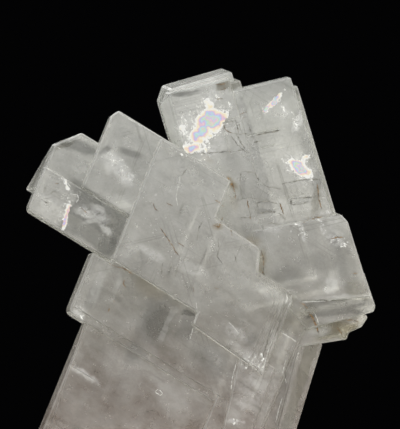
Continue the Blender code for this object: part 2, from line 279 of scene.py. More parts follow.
def zone_masks(tree, place, rows, before=None):
    """The strongest of several zones at each point, after the mask before."""
    total = None
    for row in rows:
        if before is not None:
            place = move(tree, "MULTIPLY_ADD", before, (0, 0, 0), place)
        before = zone_mask(tree, place, *row)
        if total is not None:
            before = compute(tree, "MAXIMUM", total, before)
        total = before
    return total


print(f"a zone 5 mm long reaches {ZONE_DEPTH + DEPTH_PER_LENGTH * 5 / 2:.1f} mm into the crystal")

# %% [markdown]
# ## Patterns with a real size
#
# Haze, wisps, grain and growth lines are all noise of different sizes, in millimetres. To make a noise
# run along an edge of the crystal, the coordinates are turned to that edge and squeezed. A second noise
# can push them about first, which gives what is drawn there an uneven rim. Each noise is one named row:
# its size and detail, the two values that become 0 and 1, and its roughness. Some rows stop earlier.

# %% Noise that runs along the crystal's edges
USUAL_ROUGHNESS, PUSH_DETAIL = 0.55, 4.0


def laid_over(tree, body, tint, mask, share=1.0):
    """The colour body with a tint over it where the mask is, at a share of its strength."""
    if share != 1.0:
        mask = compute(tree, "MULTIPLY", mask, share)
    sockets = {0: mask, 6: body, 7: colour(tint)}
    return add_node(tree, "ShaderNodeMix", sockets, data_type="RGBA").outputs[2]


def noise_value(tree, place, size_mm, detail, low=0.0, high=1.0, rough=USUAL_ROUGHNESS):
    """A noise whose features are size_mm wide, stretched so that low becomes 0 and high becomes 1."""
    sockets = {"Vector": place, "Scale": per_mm(size_mm), "Detail": detail, "Roughness": rough}
    return step_between(tree, add_node(tree, "ShaderNodeTexNoise", sockets).outputs["Fac"], low, high)


def along(tree, place, degrees, squeeze):
    """Coordinates turned to one edge direction and squeezed, so that a noise runs along that edge."""
    sockets = {"Vector": place, "Rotation": (0, -math.radians(degrees), 0)}
    turned = add_node(tree, "ShaderNodeMapping", sockets, vector_type="TEXTURE").outputs[0]
    return add_node(tree, "ShaderNodeMapping", {"Vector": turned, "Scale": squeeze}).outputs[0]


def pushed_about(tree, place, size_mm, reach_mm):
    """The place moved by up to reach_mm by a noise that is size_mm wide."""
    sockets = {"Vector": place, "Scale": per_mm(size_mm), "Detail": PUSH_DETAIL}
    sway = add_node(tree, "ShaderNodeTexNoise", sockets).outputs["Color"]
    around_0 = move(tree, "ADD", sway, (-0.5, -0.5, -0.5))
    return move(tree, "MULTIPLY_ADD", around_0, (2 * reach_mm * MM,) * 3, place)


print("a pattern of 1 mm needs a noise scale of", per_mm(1))

# %% [markdown]
# ## The tone of the calcite
#
# The crystal is rosy brown at its foot, where the rock's iron got in, and pale grey at the top. A colour
# ramp over the height gives that, pushed about by 4 mm so that no level line shows. Over it lie a broad
# haze, wisps along the plates' edges and a fine grain, as trapped fluid lies in bands.

# %% Tone, haze, wisps and grain
# Heights above the heart in millimetres and the tone there, from the foot to the top
TONES = [(-40, "#7d6f66"), (-26, "#887f77"), (-14, "#9f9c95"), (2, "#b0afaa"), (26, "#b9bab6")]
# The second colour is painted shade: the dark room seen through clear calcite, put into its colour
MILKY, CLEAR_PAINTED_DARK, WHITE = "#ecece8", "#2c2e2b", "#ffffff"
FAR_PUSH, NEAR_PUSH = (9, 4.0), (2.5, 0.9)
HAZE, GRAIN = (7, 5.0, 0.38, 0.68), (0.35, 3.0, 0.35, 0.65)
WISPS, WISP_SQUEEZE = (1.3, 5.0, 0.4, 0.75, 0.65), (0.35, 1, 0.9)
HAZE_SHARE, WISP_SHARE, GRAIN_SHARE = 0.28, 0.22, 0.14


def colour_ramp(tree, value, stops):
    """A colour for each value: stops are pairs of a position from 0 to 1 and a hex colour."""
    ramp = add_node(tree, "ShaderNodeValToRGB", {0: value})
    elements = ramp.color_ramp.elements
    for _ in stops[2:]:
        elements.new(1.0)
    for element, (position, tone) in zip(elements, stops):
        element.position = position
        element.color = colour(tone)
    return ramp.outputs["Color"]


def tone_by_height(tree, place):
    """Rosy brown at the foot to pale grey at the top."""
    height = add_node(tree, "ShaderNodeSeparateXYZ", {0: place}).outputs["Z"]
    low, high = TONES[0][0], TONES[-1][0]
    height = step_between(tree, height, HEART.z + low * MM, HEART.z + high * MM)
    return colour_ramp(tree, height, [((level - low) / (high - low), tone) for level, tone in TONES])


def hazy_tone(tree, place, wisps):
    """The tone with haze, wisps and grain, before any zone."""
    far_pushed = pushed_about(tree, place, *FAR_PUSH)
    body = tone_by_height(tree, far_pushed)
    body = laid_over(tree, body, MILKY, noise_value(tree, far_pushed, *HAZE), HAZE_SHARE)
    body = laid_over(tree, body, MILKY, wisps, WISP_SHARE)
    return laid_over(tree, body, CLEAR_PAINTED_DARK, noise_value(tree, place, *GRAIN), GRAIN_SHARE)


print("tones from", TONES[0][1], "to", TONES[-1][1])

# %% [markdown]
# ## Stains, veils and growth lines in the colour
#
# The zones are laid over the tone one table after the other: olive and rusty stains, clear windows painted
# dark as painted shade of the room seen through them, milk and veils. The wisps tear the milk. A veil is a
# healed crack full of tiny bubbles and looks like a feather, so its mask is multiplied by thin ridges: places
# where a noise passes through its middle value. The same trick, with a noise drawn out very long, gives
# cleavage traces.

# %% Layers over the tone
OLIVE_TINT, RUST_TINT, TRACE_DARK = "#645f4b", "#87744b", "#6c6c64"
EDGES = (MAIN_UP, MAIN_ACROSS, TWIN_UP, TWIN_ACROSS)
# Milk is this strong where there is no wisp, and this much stronger in the middle of one
MILK_LEAST, MILK_IN_WISPS = 0.6, 0.9
FEATHER_PUSH, FEATHER_TURN, FEATHER_SQUEEZE = (1.0, 0.5), 25, (0.7, 1, 1)
FEATHER, FEATHER_WIDTH, VEIL_STRENGTH = (0.8, 3.0, 0.3, 0.7), 0.3, 0.5
HATCH, HATCH_SQUEEZE = (0.45, 0.0, 0.4, 0.6), (0.03, 0.1, 1)
TRACES, TRACE_SQUEEZE, TRACE_WIDTH, TRACE_STRENGTH = (2.4, 0.0), (0.008, 0.02, 1), 0.012, 0.4
# The traces of each direction come from another part of the noise, and only show in patches
TRACE_SHIFT = 13 * MM
PATCHES, PATCH_SQUEEZE = (3.5, 2.0, 0.52, 0.62), (0.5, 1, 1)
# Painted highlights: sparse white specks that stand in for tiny glints
GLINT_SPACING, GLINT_SHARE, GLINT_STRENGTH = 2.4, 0.018, 0.7
GLINT_RIM, GLINT_MIDDLE = 0.11, 0.05


def ridges(tree, value, width):
    """1 where a noise is at its middle value and 0 from width away from it."""
    away = compute(tree, "ABSOLUTE", compute(tree, "SUBTRACT", value, 0.5))
    return step_between(tree, away, width, width / 10)


def with_zones(tree, body, place, pushed, wisps):
    """Stains, clear windows painted dark as painted shade, milk, veils and the fine growth lines of the
    twin's upper left face.
    """
    mask = None
    # The clear zones get painted shade, the dark room seen through them
    for rows, tint in ((OLIVE, OLIVE_TINT), (RUSTY, RUST_TINT), (CLEAR_ZONES_PAINTED_DARK, CLEAR_PAINTED_DARK)):
        mask = zone_masks(tree, pushed, rows, mask)
        body = laid_over(tree, body, tint, mask)
    torn = compute(tree, "MULTIPLY_ADD", wisps, MILK_IN_WISPS, MILK_LEAST)
    milk = compute(tree, "MULTIPLY", zone_masks(tree, pushed, MILKIER, mask), torn)
    milk = add_node(tree, "ShaderNodeClamp", {0: milk}).outputs[0]
    body = laid_over(tree, body, MILKY, milk)
    feather = along(tree, pushed_about(tree, place, *FEATHER_PUSH), FEATHER_TURN, FEATHER_SQUEEZE)
    feather = ridges(tree, noise_value(tree, feather, *FEATHER), FEATHER_WIDTH)
    veil = compute(tree, "MULTIPLY", zone_masks(tree, pushed, VEILS, milk), feather)
    body = laid_over(tree, body, WHITE, veil, VEIL_STRENGTH)
    hatch = noise_value(tree, along(tree, place, TWIN_ACROSS, HATCH_SQUEEZE), *HATCH)
    return laid_over(tree, body, MILKY, hatch, zone_masks(tree, pushed, HATCHED, veil))


def with_traces(tree, body, place):
    """Dark cleavage traces along all four edges, drawn 0.1 mm wide, which is coarser than real ones."""
    for i, degrees in enumerate(EDGES, start=1):
        shifted = move(tree, "ADD", place, (TRACE_SHIFT * i, 0, TRACE_SHIFT * i))
        level = noise_value(tree, along(tree, shifted, degrees, TRACE_SQUEEZE), *TRACES)
        trace = compute(tree, "MULTIPLY", ridges(tree, level, TRACE_WIDTH), TRACE_STRENGTH)
        patchy = noise_value(tree, along(tree, shifted, degrees, PATCH_SQUEEZE), *PATCHES)
        body = laid_over(tree, body, TRACE_DARK, trace, patchy)
    return body


def with_glint_specks(tree, body, place):
    """Painted highlights: white specks about 0.3 mm across, a few on each face, that stand in for tiny
    glints.
    """
    cells = add_node(tree, "ShaderNodeTexVoronoi", {"Vector": place, "Scale": per_mm(GLINT_SPACING)})
    speck = step_between(tree, cells.outputs["Distance"], GLINT_RIM, GLINT_MIDDLE, GLINT_STRENGTH)
    picked = add_node(tree, "ShaderNodeSeparateXYZ", {0: cells.outputs["Color"]}).outputs[0]
    return laid_over(tree, body, MILKY, speck, compute(tree, "LESS_THAN", picked, GLINT_SHARE))


print("cleavage traces run at", EDGES, "degrees")

# %% [markdown]
# ## The true faces of the crystal
#
# The plates' edges are worn: a narrow rounded strip runs along each and is matt. Its colour is a little
# darker than the faces, as painted shade that tones down the glint of the lights on it. A few true directions
# hold nearly all of the surface. They are found by adding up the area of the polygons that look the same way,
# and a normal that is far from all of them belongs to a worn edge.

# %% Find the true faces
# Cosines of the angle to a true face: above the first it is that face, below the second a worn edge that
# takes painted shade
SAME_WAY, ON_EDGE = 0.985, 0.955
LEAST_SHARE = 0.009


def true_faces(mesh):
    """The axes along which the crystal's real faces look: those with a fair share of its surface."""
    found = []
    for polygon in sorted(mesh.polygons, key=lambda p: -p.area):
        for row in found:
            if abs(row[0].dot(polygon.normal)) > SAME_WAY:
                row[1] += polygon.area
                break
        else:
            found.append([polygon.normal.copy(), polygon.area])
    whole = sum(row[1] for row in found)
    return [row[0] for row in found if row[1] > LEAST_SHARE * whole]


def edges_worn_and_shaded(tree):
    """1 on the worn edges of the plates, which are matt and take painted shade, and 0 on the true faces."""
    normal = add_node(tree, "ShaderNodeNewGeometry").outputs["True Normal"]
    nearest = 0.0
    for axis in TRUE_FACES:
        same = add_node(tree, "ShaderNodeVectorMath", {0: normal, 1: axis}, operation="DOT_PRODUCT")
        nearest = compute(tree, "MAXIMUM", nearest, compute(tree, "ABSOLUTE", same.outputs["Value"]))
    return step_between(tree, nearest, SAME_WAY, ON_EDGE)


TRUE_FACES = true_faces(crystal.data)
print(len(TRUE_FACES), "axes of true faces")

# %% [markdown]
# ## Calcite
#
# Calcite's faces are as smooth as glass with faint parallel growth lines, so the roughness is low and
# uneven and the lines are a bump along the plates' edges. Its two IORs are 1.49 and 1.66, and the shader
# takes 1.6. A good half of the light goes through, and the milkiness, which is the base colour, scatters
# the rest. Calcite throws a bright shadow, so shadow rays see it as a slightly grey filter.

# %% Calcite material
CALCITE_IOR, TRANSMISSION = 1.6, 0.6
# Spacing in mm of the growth lines along each of the four edge directions
LINE_SPACING = (0.5, 0.6, 0.45, 0.35)
LINE_SQUEEZE, LINE_DETAIL = (0.04, 0.3, 1), 2.0
WAVES, WAVE_HEIGHT = (2.5, 3.0), 1.5
BUMP_STRENGTH, BUMP_REACH = 0.3, 0.04 * MM
POLISH, SMOOTHEST, UNEVEN, WORN_ROUGH = (2.2, 5.0, 0.3, 0.75, 0.7), 0.12, 0.22, 0.4
# Painted shade: a darker grey on the worn edges that tones down the lights' glint there
EDGE_PAINTED_SHADE, EDGE_SHADE_SHARE = "#5c5d58", 0.28
SCATTER = {"Subsurface Weight": 0.15, "Subsurface Radius": (1.0, 1.0, 0.95)}
SCATTER |= {"Subsurface Scale": 1.2 * MM}
ABSORPTION = {"Color": colour("#dededa"), "Density": 22.0}
LAMP_LIGHT = "#d4d4cf"


def growth_lines(tree, place):
    """A bump of growth lines and a slow waviness of 2.5 mm, which makes reflections wander."""
    heights = compute(tree, "MULTIPLY", noise_value(tree, place, *WAVES), WAVE_HEIGHT)
    for degrees, spacing in zip(EDGES, LINE_SPACING):
        lines = noise_value(tree, along(tree, place, degrees, LINE_SQUEEZE), spacing, LINE_DETAIL)
        heights = compute(tree, "ADD", heights, lines)
    sockets = {"Height": heights, "Strength": BUMP_STRENGTH, "Distance": BUMP_REACH}
    return add_node(tree, "ShaderNodeBump", sockets).outputs[0]


def calcite():
    """The material of the whole crystal, clear to milky, as it grew."""
    material, tree, output, place = new_material("calcite_clear_to_milky")
    pushed = pushed_about(tree, place, *NEAR_PUSH)
    wisps = noise_value(tree, along(tree, pushed, MAIN_ACROSS, WISP_SQUEEZE), *WISPS)
    body = hazy_tone(tree, place, wisps)
    body = with_zones(tree, body, place, pushed, wisps)
    # The white specks laid over the colour are painted highlights
    body = with_glint_specks(tree, with_traces(tree, body, place), pushed)
    edge_wear_and_shade = edges_worn_and_shaded(tree)
    # Painted shade on the worn edges, which dims the lights' glint on them
    body = laid_over(tree, body, EDGE_PAINTED_SHADE, edge_wear_and_shade, EDGE_SHADE_SHARE)

    rough = compute(tree, "MULTIPLY_ADD", noise_value(tree, place, *POLISH), UNEVEN, SMOOTHEST)
    rough = compute(tree, "MULTIPLY_ADD", edge_wear_and_shade, WORN_ROUGH, rough)
    sockets = {"Base Color": body, "Roughness": rough, "Normal": growth_lines(tree, place)}
    sockets |= {"IOR": CALCITE_IOR, "Transmission Weight": TRANSMISSION} | SCATTER
    shader = add_node(tree, "ShaderNodeBsdfPrincipled", sockets).outputs[0]
    lamp_light = add_node(tree, "ShaderNodeBsdfTransparent", {"Color": colour(LAMP_LIGHT)}).outputs[0]
    shadow = add_node(tree, "ShaderNodeLightPath").outputs["Is Shadow Ray"]
    mixed = add_node(tree, "ShaderNodeMixShader", {0: shadow, 1: shader, 2: lamp_light}).outputs[0]
    tree.links.new(mixed, output.inputs["Surface"])
    absorption = add_node(tree, "ShaderNodeVolumeAbsorption", ABSORPTION)
    tree.links.new(absorption.outputs[0], output.inputs["Volume"])
    return material


crystal.data.materials.clear()
crystal.data.materials.append(calcite())
print("calcite has", len(crystal.data.materials[0].node_tree.nodes), "nodes")

# %% [markdown]
# ## Where the cracks run
#
# Water carried rust into some of the cleavage cracks, others stay open and look like dark hairlines, and
# a few healed with white calcite. Each row is one crack: its width and then its points, two numbers
# each, all in millimetres.

# %% Cracks
RUST_LINES = [
    (0.47, -4, 9.5, -3.4, 8.6, -2.9, 7.7), (0.16, -2.9, 7.7, -2.5, 6.3, -2.7, 5.6),
    (0.25, -6.3, 5.4, -5.4, 4.9, -4.7, 4.1), (0.25, -0.5, 5.4, -0.2, 4), (0.22, 0, 2.5, 0.2, 2),
    (0.18, -6.7, 0.9, -5.6, 0.5, -5.2, 1.6, -4.9, 2.3), (0.36, -5.9, 0.9, -5.6, 0.4),
    (0.16, -3.8, 0.7, -3.4, -0.2, -3.2, -1.1), (0.22, 5.4, 4.9, 5.8, 3.8, 6.1, 2.9),
    (0.18, 2, -3.6, 2.5, -5, 2.5, -7.6), (0.41, 2.3, -7.4, 2.7, -8.1),
    (0.14, -26.3, -5.6, -24.7, -6.5, -23, -7), (0.27, -23.2, -6.8, -22.1, -7.4, -21.2, -8.1),
    (0.23, -22.7, -9, -22.9, -9.7, -22.5, -10.4), (0.27, -24.8, -12.8, -24.5, -13.1),
    (0.32, -25.7, -14.8, -25.4, -14.2),
    (0.16, -16.2, 0.4, -14.9, -1.4, -13.9, -2.9, -13.5, -3.8, -12.6, -4.9), (0.16, -13, -2.3, -11.5, -3.2),
    (0.14, -15.1, 4.9, -13.9, 4.3), (0.16, -17.5, 4.9, -17.1, 3.8, -16.4, 3.4),
    (0.36, 10.6, -14.9, 11.3, -15.8, 11.9, -17.1, 12.4, -18.5), (0.18, 9, -13.1, 9.9, -13.5, 10.4, -14.2),
    (0.25, 17.5, -16.4, 18.4, -16.2, 19.6, -16.6), (0.18, 15.7, -17.5, 16.7, -18.9),
    (0.22, 9.9, 1.8, 10.8, 1.6, 11.9, 2.3, 13, 2.3), (0.22, 12.2, 8.3, 12.4, 5.8, 13, 3.8),
    (0.18, 14.6, -1.6, 15.8, -1.3, 16.9, -1.3), (0.18, 18.4, -7.9, 19.4, -7.7),
    (0.14, -10.3, -10.3, -10.1, -11.2), (0.14, -6.5, -10.4, -5.6, -10.6), (0.14, -35.3, 8.3, -34.6, 8.5),
    (0.14, -30.6, 4, -29.3, 2.9), (0.14, -25.2, 2.3, -24.8, 1.4), (0.18, -5, 19.6, -4.3, 18, -3.1, 17.5),
    (0.18, -4.1, 14.2, -3.4, 14.2), (0.18, -1.8, 20.9, -0.5, 21.4), (0.18, -1.3, 20.2, -0.7, 20.5),
    (0.23, -6.1, 23.6, -4.9, 23.8), (0.22, -5.9, 26.3, -4.3, 26.5), (0.18, -5.4, 25.2, -4.3, 25.6),
]
DARK_LINES = [
    (0.14, -4.1, 19.4, -2.5, 19.8, -2, 17.6), (0.14, -3.1, 17.5, -1.8, 17.3, -0.4, 17.5),
    (0.16, -0.4, 19.3, 0.2, 17.8, 0.7, 16.6), (0.31, 1.1, 17.1, 3.2, 17.6, 5.4, 18),
    (0.18, 0.7, 15.8, 2.2, 16.2), (0.13, -9, 13.9, -6.3, 14, -4.1, 14.2), (0.13, -2.9, 14.2, -0.9, 14.6),
    (0.13, -3.4, 17.1, -2.3, 15.5, -0.5, 13.9), (0.14, -2.3, 17.3, -1.3, 15.3, -0.2, 13.9),
    (0.14, -2.2, 19.8, -1.4, 17.6), (0.14, 5.8, 8.3, 9, 9, 12.6, 9.2), (0.13, 1.4, 9.4, 2.9, 7.9, 5.6, 7.4),
    (0.13, -1.6, 10.4, -1.8, 8.1, -1.3, 5.6), (0.13, -1.3, 10.6, 0.9, 10.3, 1.6, 8.8),
    (0.13, -2.5, 5.4, 0, 5.8, 2.2, 5.6), (0.14, -0.2, 4, 0.2, 2.3), (0.13, -2, 2.2, 0.2, 2.2),
    (0.16, 1.3, 4.9, 1.6, 3.1), (0.32, 1.8, 2.9, 3.2, 3.4, 4.9, 3.2), (0.14, 1.4, 5, 3.2, 5.2, 5.2, 4.7),
    (0.14, 5.2, 3.1, 6.5, 1.8), (0.29, 7.4, 5.6, 7.6, 4.5), (0.16, 7.7, 4.5, 9.5, 4.7, 10.6, 5.2),
    (0.14, 7.4, 5.6, 9.4, 5.8, 11.2, 5.9), (0.14, 2.3, 0.9, 2.5, 0), (0.13, 3.2, 1.1, 4, 1.3, 5.4, 0.9),
    (0.14, 3.6, -8.8, 2.7, -8.3), (0.14, -5.8, -1.4, -5.6, -3.6, -5.9, -4.9, -4.9, -6.1),
    (0.13, -2.7, -4.5, -2.5, -5.8), (0.14, -37.4, 6.8, -36.9, 8.3), (0.14, -36.2, 6.5, -35.6, 7, -34.9, 6.8),
    (0.13, -37.8, 5.6, -36.5, 4.7), (0.11, -12.4, 9.7, -11.2, 11.3), (0.13, -7.9, 6.3, -7.4, 6.1),
    (0.11, -9.5, -1.8, -9.2, 0.4, -8.5, 1.6), (0.14, 9.5, 5.9, 13, 6.1), (0.14, 13.7, 2.3, 16.4, 2.7),
    (0.13, 9, -12.8, 12.6, -12.6, 17.1, -12.8), (0.14, 6.7, -11.2, 7.6, -11.9, 7.7, -12.6),
    (0.11, -15.7, -5.8, -16, -8.1), (0.11, -14, -5.8, -14.8, -8.3), (0.11, -12.8, -5.8, -13.5, -8.5),
    (0.13, -8.1, -17.5, -6.1, -18.5, -4, -20), (0.13, -5, -20.5, -2.5, -22, -0.5, -23.9),
    (0.13, 4, -17.1, 2.9, -20.7, 2.2, -23.4), (0.13, 6.5, -13, 5.6, -15.8, 4.7, -18.7),
    (0.11, 7.2, -22.5, 6.5, -25.6, 6.1, -27.7), (0.14, 4.9, -35.6, 5.6, -32.8, 6.5, -30.6),
]
BRIGHT_LINES = [
    (0.16, -29.5, 7.2, -27.9, 5.8, -26.3, 4.9, -24.8, 4.1), (0.22, 16.2, -12.4, 13.5, -12.8, 9.5, -13),
    (0.16, -36.9, 11.2, -35.5, 10.6, -33.7, 9.4, -32.4, 7.7),
    (0.14, -32.4, 6.3, -31.3, 6.5, -31, 5.6, -31.5, 4.9),
    (0.16, -9.7, -13.1, -9.5, -14.8, -10.1, -17.1, -10.8, -19.8), (0.16, 5.2, -18.2, 6.7, -19.1, 8.5, -20.3),
    (0.18, 6.5, -11.5, 6.8, -12.4, 6.3, -13.3), (0.14, 7.2, -11.9, 7.6, -12.6, 6.8, -14),
    (0.16, -3.8, -16.6, -2.5, -18, -1.8, -19.1), (0.16, 11.5, -14.8, 12.1, -16, 12.6, -17.3),
    (0.14, -23.8, 21.2, -18, 17.8), (0.18, -35.1, 15.1, -34.2, 14.6),
    (0.14, -12.6, 9.4, -13.3, 6.1, -13, 4.3), (0.14, 6.5, -23.4, 5.9, -25.9, 6.7, -27.7),
    (0.14, 2.9, -25.6, -1.3, -23), (0.16, 2.2, -25.9, 3.2, -22, 4.5, -18.7),
    (0.14, -2.3, -23.6, -3.1, -26.5, -3.4, -28.8), (0.14, 5.9, -30.2, 5.2, -32.4, 4.7, -34.9),
    (0.18, -27.9, -16.4, -27.5, -16.9),
    (0.18, -17.1, -29.3, -16.7, -29, -16.2, -29.2, -15.8, -29.7, -16.2, -30.1, -16.9, -29.7, -17.1, -29.3),
]
print(len(RUST_LINES), "rusty,", len(DARK_LINES), "open and", len(BRIGHT_LINES), "healed cracks")

# %% [markdown]
# ## A thin wedge for each crack
#
# A painted line would blur, so each crack's mouth is filled with a wedge of uneven width that rises
# 0.015 mm above the face, which nobody can feel, and reaches 0.15 mm into it. The line is walked in short
# steps and shaken a little. At each step a ray finds the face. Where that steps to another plate, the
# wedge ends and a new one starts, so none bridges a ledge.

# %% Build the crack fillings
FILLING_LIFT, RIM_SHARE, FILLING_DEPTH = 0.015, 0.3, 0.15
CRACK_STEP, PLATE_STEP = 0.22, 0.45
# How quick a shake is and how far it reaches in millimetres
SHAKES = ((2.5, 0.09), (7.0, 0.03))
# A crack's width swells and shrinks around its mean and tapers off over a few steps
SWELL_SPEED, SWELL_SEED, SWELL_MEAN, SWELL_RANGE, THINNEST = 3.5, 5, 0.75, 1.3, 0.15
TAPER_STEPS, TIP_WIDTH = 3, 0.35
# Without a seed this noise starts from the clock, and no two runs would be the same
noise.seed_set(3)


def pairs(numbers):
    """The places in a row of numbers."""
    return list(zip(numbers[::2], numbers[1::2]))


def add_piece(name, corners, faces, material):
    """A mesh object that belongs to the crystal."""
    mesh = bpy.data.meshes.new(name)
    mesh.from_pydata(corners, [], faces)
    mesh.materials.append(material)
    mesh.update()
    piece = bpy.data.objects.new(name, mesh)
    bpy.context.scene.collection.objects.link(piece)
    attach(piece, "root")


def shaken(x, z, seed):
    """A place moved a little by a slow and a quick noise."""
    moved = Vector((x, z))
    for speed, reach in SHAKES:
        sway = noise.noise_vector(Vector((x, z, seed)) * speed) * reach
        moved += Vector((sway.x, sway.y))
    return moved


def in_steps(points, step_mm, least):
    """The places along a line, about a step apart, and its last point left out."""
    path = []
    for (x0, z0), (x1, z1) in zip(points, points[1:]):
        count = max(least, round(math.hypot(x1 - x0, z1 - z0) / step_mm))
        path += [(x0 + (x1 - x0) * i / count, z0 + (z1 - z0) * i / count) for i in range(count)]
    return path


def wedge_ring(middle, side, half):
    """Four corners of a wedge across a crack: two at its rims, one on its crest and one deep inside."""
    left, right = (middle + Vector((side.x, 0, side.y)) * s * half * MM for s in (1, -1))
    out, into = Vector((0, -FILLING_LIFT, 0)) * MM, Vector((0, FILLING_DEPTH, 0)) * MM
    return [left + out * RIM_SHARE, middle + out, right + out * RIM_SHARE, middle + into]


def wedge_rings(points, width, seed):
    """Rings along a crack, in runs that end where the face steps."""
    path = [shaken(x, z, seed) for x, z in in_steps(points, CRACK_STEP, 2) + points[-1:]]
    runs, last = [[]], None
    for i, p in enumerate(path):
        ahead = path[min(i + 1, len(path) - 1)] - path[max(i - 1, 0)]
        side = Vector((-ahead.y, ahead.x)).normalized()
        from_end = min(i, len(path) - 1 - i) / TAPER_STEPS
        swell = noise.noise(Vector((p.x, p.y, seed + SWELL_SEED)) * SWELL_SPEED)
        swell = SWELL_MEAN + SWELL_RANGE * swell
        half = width / 2 * max(THINNEST, swell) * min(1, TIP_WIDTH + from_end)
        middle = front_face(p.x, p.y)
        if middle is None or (last is not None and abs(middle.y - last.y) > PLATE_STEP * MM):
            runs.append([])
        else:
            runs[-1].append(wedge_ring(middle, side, half))
        last = middle
    return [run for run in runs if len(run) > 1]


def fill_cracks(name, rows, swell, material):
    """One piece with the fillings of all cracks of a kind."""
    corners, faces = [], []
    for seed, (width, *numbers) in enumerate(rows):
        for run in wedge_rings(pairs(numbers), width * swell, seed):
            first = len(corners)
            corners += [corner for ring in run for corner in ring]
            for start in range(first, len(corners) - 4, 4):
                for k in range(4):
                    after = (k + 1) % 4
                    faces.append((start + k, start + after, start + 4 + after, start + 4 + k))
            faces.append((first + 3, first + 2, first + 1, first))
            faces.append(tuple(range(len(corners) - 4, len(corners))))
    add_piece(name, corners, faces, material)
    print(name, "has", len(faces), "faces")


print("cracks are followed in steps of", CRACK_STEP, "mm")

# %% [markdown]
# ## Earthy and crystalline fillings
#
# Limonite, which is earthy rust, goes from near black to ochre where it is thin. An open crack is dark
# because light that falls in doesn't come back. Healed cracks and fluid veils are fine white calcite. All
# four are two colours mottled by a noise, with fine grit as bump. A veil also has holes.

# %% Minerals of the cracks and veils
MOTTLE, HOLES = (4.0, 0.35, 0.65), (3.0, 0.4, 0.64)
GRIT, GRIT_STRENGTH, GRIT_REACH = (0.1, 3.0), 0.4, 0.01 * MM
ROUGH_SPREAD = 0.1


def mineral(name, dark, light, size_mm, rough, hole_mm=None):
    """A matt mineral: two colours mottled by a noise, and torn by holes if they are given a size."""
    material, tree, output, place = new_material(name)
    mottle = noise_value(tree, place, size_mm, *MOTTLE)
    tone = laid_over(tree, colour(dark), light, mottle)
    grit = {"Height": noise_value(tree, place, *GRIT), "Strength": GRIT_STRENGTH, "Distance": GRIT_REACH}
    bump = add_node(tree, "ShaderNodeBump", grit).outputs[0]
    uneven = compute(tree, "MULTIPLY_ADD", mottle, 2 * ROUGH_SPREAD, rough - ROUGH_SPREAD)
    sockets = {"Base Color": tone, "Roughness": uneven, "Normal": bump}
    if hole_mm is not None:
        sockets["Alpha"] = noise_value(tree, place, hole_mm, *HOLES)
    give_surface(tree, output, sockets)
    return material


rust = mineral("limonite_rust_earthy", "#1f150a", "#785c33", 0.6, 0.8)
open_crack = mineral("open_cleavage_in_shade", "#3c3b33", "#75736a", 0.8, 0.5)
healed = mineral("healed_calcite_fine", "#94948e", "#c0c0bb", 0.6, 0.4)
fill_cracks("rust_in_cracks", RUST_LINES, 0.9, rust)
fill_cracks("open_hairline_cracks", DARK_LINES, 1.3, open_crack)
fill_cracks("healed_white_cracks", BRIGHT_LINES, 0.8, healed)

# %% [markdown]
# ## Films in cleavage cracks
#
# Where a cleavage crack just under a face holds a film of air thinner than a hair, it mirrors the light,
# and its thickness picks the colour, as in a soap bubble: white at its thin rim, then straw, rose,
# lavender, pale blue, mint and rose again. A film is a ragged sheet. Around and beside it lie veils of
# strewn white flakes. Here are the outlines of the sheets, the veils and small heaps of rust, in rows
# like the cracks', and the hills of thickness inside the films, with the thickness as the last number.

# %% Outlines of films, veils and rust
SHEETS = {
    "film_large": (
        -7.9, 23.9, -6.7, 24.3, -5.2, 22.7, -3.8, 22.5, -3.4, 21.1, -4.5, 19.8, -4.9, 18.2, -6.7, 16.7,
        -7.7, 15.1, -7.9, 13.1, -9.4, 13, -11.7, 14.2, -12.8, 16, -12.1, 17.5, -13, 18.7, -11.5, 20.3,
        -9.4, 21.2, -8.8, 22.9,
    ),
    "film_right": (
        6.1, 13.1, 7.6, 13.7, 8.8, 12.6, 10.3, 13.7, 11.3, 13, 10.8, 12.1, 11.7, 10.4, 11.3, 9.4, 10.3, 9,
        8.3, 10.1, 6.7, 11.3,
    ),
    "film_streak": (2.3, 21.4, 3.2, 22.7, 4.5, 23.9, 5.8, 25, 6.3, 24.7, 5.4, 23.4, 4.1, 22.1, 3.1, 21.2),
    "film_strip": (
        -32.9, 5.4, -32.4, 5, -32.9, 3.1, -33.1, 1.1, -33.7, -0.5, -34.2, -0.2, -33.7, 2, -33.7, 4,
    ),
    "film_bend": (-34.4, 9.2, -33.8, 9.4, -32.8, 8.3, -32, 6.8, -32.6, 6.5, -33.8, 7.7),
    "veil_ledge": (7.9, 1.6, 9.2, 1.3, 10.1, -1.4, 9.2, -1.8, 8.5, -0.2),
    "veil_corner": (12.4, 2, 13.3, 2, 13.9, 0, 14.4, -1.4, 13.3, -1.1, 12.6, 0.4),
    "veil_rim": (7.6, 21.2, 8.6, 21.2, 9, 19.4, 9.5, 17.8, 8.5, 17.6, 7.7, 19.1),
    "veil_small": (5.6, 22.7, 6.5, 22.9, 7, 20.9, 6.3, 20.5),
    "veil_tip": (13.5, 3.2, 14.4, 4, 15.7, 3.4, 14.6, 2.7),
    "veil_main_left": (-24.7, 12.6, -23.4, 13.1, -21.4, 10.8, -21.1, 8.3, -22.3, 7.9, -23.6, 10.4),
    "veil_low": (-0.7, -25.6, -1.8, -23.8, 0, -22.5, 2.2, -22, 2.9, -23.4, 2.2, -25.9, 0.7, -24.8),
    "veil_foot": (-3.4, -34.4, -2.2, -34, -1.3, -34.7, -2.2, -35.3, -3.2, -35.1),
    "veil_feather": (-12.6, 20.2, -11.5, 21.2, -10.4, 20.9, -9.9, 19.1, -10.8, 17.1, -12.2, 16.6, -13, 18),
    "veil_twin_foot": (14.4, -1.3, 16.7, -1.1, 17.8, -2.2, 16.9, -3.4, 14.9, -2.7),
    "veil_low_left": (-32, -14.2, -30.6, -13.7, -29.9, -14.9, -30.6, -16.4, -31.9, -15.7),
}
